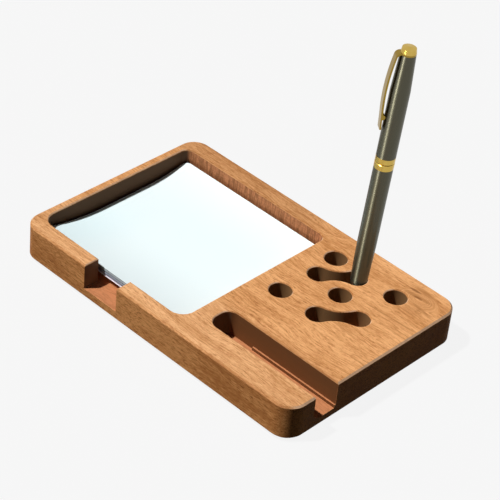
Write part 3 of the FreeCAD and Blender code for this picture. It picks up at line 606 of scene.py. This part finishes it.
# ------------------------------------------------------------------------------------------
# Pen
# ------------------------------------------------------------------------------------------
def along_pen(finish):
    """Place in the pen's own directions in mm: two across it and one along it."""
    turn = Vector((0, 0, 1)).rotation_difference(PEN_AXIS).inverted().to_euler()
    moved = finish.node("ShaderNodeVectorMath", {"operation": "SUBTRACT"},
                        {0: finish.place(), 1: tuple(PEN_PLACE / MM)})
    turned = finish.node("ShaderNodeVectorRotate", {"rotation_type": "EULER_XYZ"},
                         {"Vector": moved, "Rotation": tuple(turn)})
    return finish.split(turned)


def barrel_finish(pen):
    """Metal brushed along the barrel, under a thin lacquer."""
    finish = Finish("brushed_lacquer")
    across, deep, along = along_pen(finish)
    brushed = finish.noise(finish.join(across * 7.0, deep * 7.0, along * 0.05), 1.0, 3.0, 0.6)
    worn = finish.noise(finish.join(across * 0.3, deep * 0.3, along * 0.08), 1.0, 2.0)
    dark = tuple(channel * 0.72 for channel in pen.barrel)
    return finish.surface(
        Base_Color=finish.blend(brushed * 0.6 + worn * 0.3, rgb(pen.barrel), rgb(dark)),
        Metallic=1.0, Roughness=brushed * 0.10 + 0.34, Anisotropic=0.95,
        Anisotropic_Rotation=0.25, Coat_Weight=0.25, Coat_Roughness=0.12,
        Normal=finish.bump(brushed, 0.006 * MM))


def gold_finish(name, color):
    """Polished gold plate with a faint cloud."""
    finish = Finish(name)
    cloud = finish.noise(finish.place(), 0.5, 2.0)
    deep = tuple(channel * factor for channel, factor in zip(color, (0.86, 0.80, 0.62)))
    return finish.surface(Base_Color=finish.blend(cloud, rgb(color), rgb(deep)), Metallic=1.0,
                          Roughness=cloud * 0.06 + 0.16)


def plain_finish(name, color, metallic, roughness, scale=1.2):
    """A plain inner part with faint turning marks."""
    finish = Finish(name)
    marks = finish.noise(finish.place(), scale, 3.0)
    deep = tuple(channel * 0.85 for channel in color)
    return finish.surface(Base_Color=finish.blend(marks, rgb(color), rgb(deep)), Metallic=metallic,
                          Roughness=marks * 0.1 + roughness)


PEN_PARTS = {
    "barrel": ("pen_lower_barrel", "pen_upper_barrel"),
    "gold": ("pen_lower_ring", "pen_upper_ring", "pen_finial"),
    "clip": ("pen_clip",),
    "brass": ("pen_mechanism_housing",),
    "plastic": ("pen_cam_sleeve", "pen_cam_follower"),
    "refill": ("pen_refill_tube",),
    "steel": ("pen_refill_tip",),
}


class ORGANIZER_OT_dress_pen(bpy.types.Operator):
    """Give the pen its lacquer, gold and inner parts"""
    bl_idname = "organizer.dress_pen"
    bl_label = "Dress the pen"

    def execute(self, context):
        pen = context.scene.organizer_pen
        finishes = {
            "barrel": barrel_finish(pen),
            "gold": gold_finish("polished_gold", pen.gold),
            # the clip's gold is darkened as painted shade
            "clip": gold_finish("gold_in_painted_shade", pen.clip),
            "brass": plain_finish("turned_brass", (0.62, 0.46, 0.2), 1.0, 0.3),
            "plastic": plain_finish("cam_plastic", (0.72, 0.72, 0.69), 0.0, 0.45),
            "refill": plain_finish("refill_ink", (0.03, 0.04, 0.14), 0.0, 0.3),
            "steel": plain_finish("tip_steel", (0.56, 0.57, 0.58), 1.0, 0.25),
        }
        for kind, nodes in PEN_PARTS.items():
            for node in nodes:
                dress(node, finishes[kind])
        return {"FINISHED"}


# ------------------------------------------------------------------------------------------
# Stage
# ------------------------------------------------------------------------------------------
def floor_finish(stage):
    """Pale where it is seen, straight on or mirrored, and quiet in the light it gives back."""
    finish = Finish("pale_floor")
    path = finish.node("ShaderNodeLightPath")
    pale = finish.node("ShaderNodeEmission", None, {
        "Color": (stage.backdrop, stage.backdrop, stage.backdrop, 1), "Strength": 1.0})
    soft = finish.node("ShaderNodeBsdfDiffuse", None, {"Color": (0.8, 0.8, 0.8, 1)})
    quiet = finish.node("ShaderNodeBsdfDiffuse", None, {"Color": (0.035, 0.035, 0.035, 1)})
    shown = finish.node("ShaderNodeMixShader", None, {0: 0.95, 1: soft, 2: pale})
    seen = path.out("Is Camera Ray") + path.out("Is Glossy Ray") + path.out("Is Transmission Ray")
    finish.node_output(finish.node("ShaderNodeMixShader", None, {0: seen, 1: quiet, 2: shown}))
    return finish.material


def camera_axes(stage):
    """Right, up and back of the camera."""
    flat_back = Vector((math.sin(stage.azimuth), -math.cos(stage.azimuth), 0))
    right = Vector((math.cos(stage.azimuth), math.sin(stage.azimuth), 0))
    back = flat_back * math.cos(stage.elevation) + Vector((0, 0, math.sin(stage.elevation)))
    up = back.cross(right)
    turned_right = right * math.cos(stage.roll) + up * math.sin(stage.roll)
    turned_up = up * math.cos(stage.roll) - right * math.sin(stage.roll)
    return turned_right, turned_up, back


def add_camera(stage):
    right, up, back = camera_axes(stage)
    origin = Vector((0, 0, BLOCK_LOW.z))
    data = bpy.data.cameras.new("camera")
    data.lens = stage.lens
    data.sensor_width = 36.0
    data.clip_start = 0.01
    camera = bpy.data.objects.new("camera", data)
    bpy.context.scene.collection.objects.link(camera)
    place = origin + right * stage.aim_right + up * stage.aim_up + back * stage.distance
    turn = Matrix((right, up, back)).transposed().to_4x4()
    camera.matrix_world = Matrix.Translation(place) @ turn
    bpy.context.scene.camera = camera


def add_sun(stage):
    flat = Vector((math.cos(stage.sun_azimuth), math.sin(stage.sun_azimuth), 0))
    way = flat * math.cos(stage.sun_elevation) - Vector((0, 0, math.sin(stage.sun_elevation)))
    bpy.ops.object.light_add(type="SUN")
    sun = bpy.context.object
    sun.name = "key_light"
    sun.rotation_euler = (-way).to_track_quat("Z", "Y").to_euler()
    sun.data.energy = stage.sun
    sun.data.angle = math.radians(2.5)


def add_softbox(stage):
    """A tall softbox well away from the set, seen in the metal as one long streak."""
    side = Vector((math.cos(stage.softbox_azimuth), math.sin(stage.softbox_azimuth), 0))
    place = side * stage.softbox_distance + Vector((0, 0, stage.softbox_height))
    bpy.ops.object.light_add(type="AREA", location=place)
    softbox = bpy.context.object
    softbox.name = "softbox"
    softbox.rotation_euler = place.to_track_quat("Z", "Y").to_euler()
    softbox.data.shape = "RECTANGLE"
    softbox.data.size, softbox.data.size_y = stage.softbox_width, stage.softbox_length
    softbox.data.energy = stage.softbox
    softbox.visible_diffuse = False


def set_world(stage):
    """A dim even room that the camera and reflections see as the pale background."""
    world = bpy.data.worlds.new("studio")
    world.use_nodes = True
    nodes, links = world.node_tree.nodes, world.node_tree.links
    nodes.clear()
    path = nodes.new("ShaderNodeLightPath")
    pale = nodes.new("ShaderNodeBackground")
    pale.inputs["Color"].default_value = (stage.backdrop, stage.backdrop, stage.backdrop, 1)
    room = nodes.new("ShaderNodeBackground")
    room.inputs["Color"].default_value = (1, 1, 1, 1)
    room.inputs["Strength"].default_value = stage.ambient
    mix = nodes.new("ShaderNodeMixShader")
    output = nodes.new("ShaderNodeOutputWorld")
    seen = nodes.new("ShaderNodeMath")
    links.new(path.outputs["Is Camera Ray"], seen.inputs[0])
    links.new(path.outputs["Is Glossy Ray"], seen.inputs[1])
    seen_through = nodes.new("ShaderNodeMath")
    links.new(seen.outputs[0], seen_through.inputs[0])
    links.new(path.outputs["Is Transmission Ray"], seen_through.inputs[1])
    links.new(seen_through.outputs[0], mix.inputs[0])
    links.new(room.outputs[0], mix.inputs[1])
    links.new(pale.outputs[0], mix.inputs[2])
    links.new(mix.outputs[0], output.inputs["Surface"])
    bpy.context.scene.world = world


class ORGANIZER_OT_set_stage(bpy.types.Operator):
    """Lay the floor and set the lamps, the world and the camera"""
    bl_idname = "organizer.set_stage"
    bl_label = "Set the stage"

    def execute(self, context):
        stage = context.scene.organizer_stage
        deselect()
        bpy.ops.mesh.primitive_plane_add(size=FLOOR_SIZE, location=(0, 0, FLOOR_HEIGHT))
        floor = context.object
        floor.name = "floor"
        give(floor, floor_finish(stage))
        set_world(stage)
        add_sun(stage)
        add_softbox(stage)
        # the pen throws no shadow on the board
        for node in sum(PEN_PARTS.values(), ()):
            frame["nodes"][node].visible_shadow = False
        add_camera(stage)
        context.scene.view_settings.view_transform = "Standard"
        return {"FINISHED"}


# ------------------------------------------------------------------------------------------
# Panel and registration
# ------------------------------------------------------------------------------------------
OPERATORS = (ORGANIZER_OT_finish_wood, ORGANIZER_OT_fit_feet, ORGANIZER_OT_stack_sheets,
             ORGANIZER_OT_dress_pen, ORGANIZER_OT_set_stage)
SETTINGS = {"organizer_wood": WoodSettings, "organizer_paper": PaperSettings,
            "organizer_pen": PenSettings, "organizer_stage": StageSettings}


class ORGANIZER_PT_panel(bpy.types.Panel):
    """Steps that dress and light the set, in order"""
    bl_idname = "ORGANIZER_PT_panel"
    bl_label = "Desk organizer set"
    bl_space_type = "VIEW_3D"
    bl_region_type = "UI"
    bl_category = "Organizer"

    def draw(self, context):
        for operator in OPERATORS:
            self.layout.operator(operator.bl_idname)
        for name in SETTINGS:
            box = self.layout.box()
            group = getattr(context.scene, name)
            for setting in group.bl_rna.properties:
                if not setting.is_readonly and setting.identifier != "name":
                    box.prop(group, setting.identifier)


def register():
    for cls in (*SETTINGS.values(), *OPERATORS, ORGANIZER_PT_panel):
        bpy.utils.register_class(cls)
    for name, group in SETTINGS.items():
        setattr(bpy.types.Scene, name, PointerProperty(type=group))


def unregister():
    for name in SETTINGS:
        delattr(bpy.types.Scene, name)
    for cls in (ORGANIZER_PT_panel, *reversed(OPERATORS), *SETTINGS.values()):
        bpy.utils.unregister_class(cls)


def main():
    register()
    bpy.ops.organizer.finish_wood()
    bpy.ops.organizer.fit_feet()
    bpy.ops.organizer.stack_sheets()
    bpy.ops.organizer.dress_pen()
    bpy.ops.organizer.set_stage()


if __name__ == "__main__":
    main()
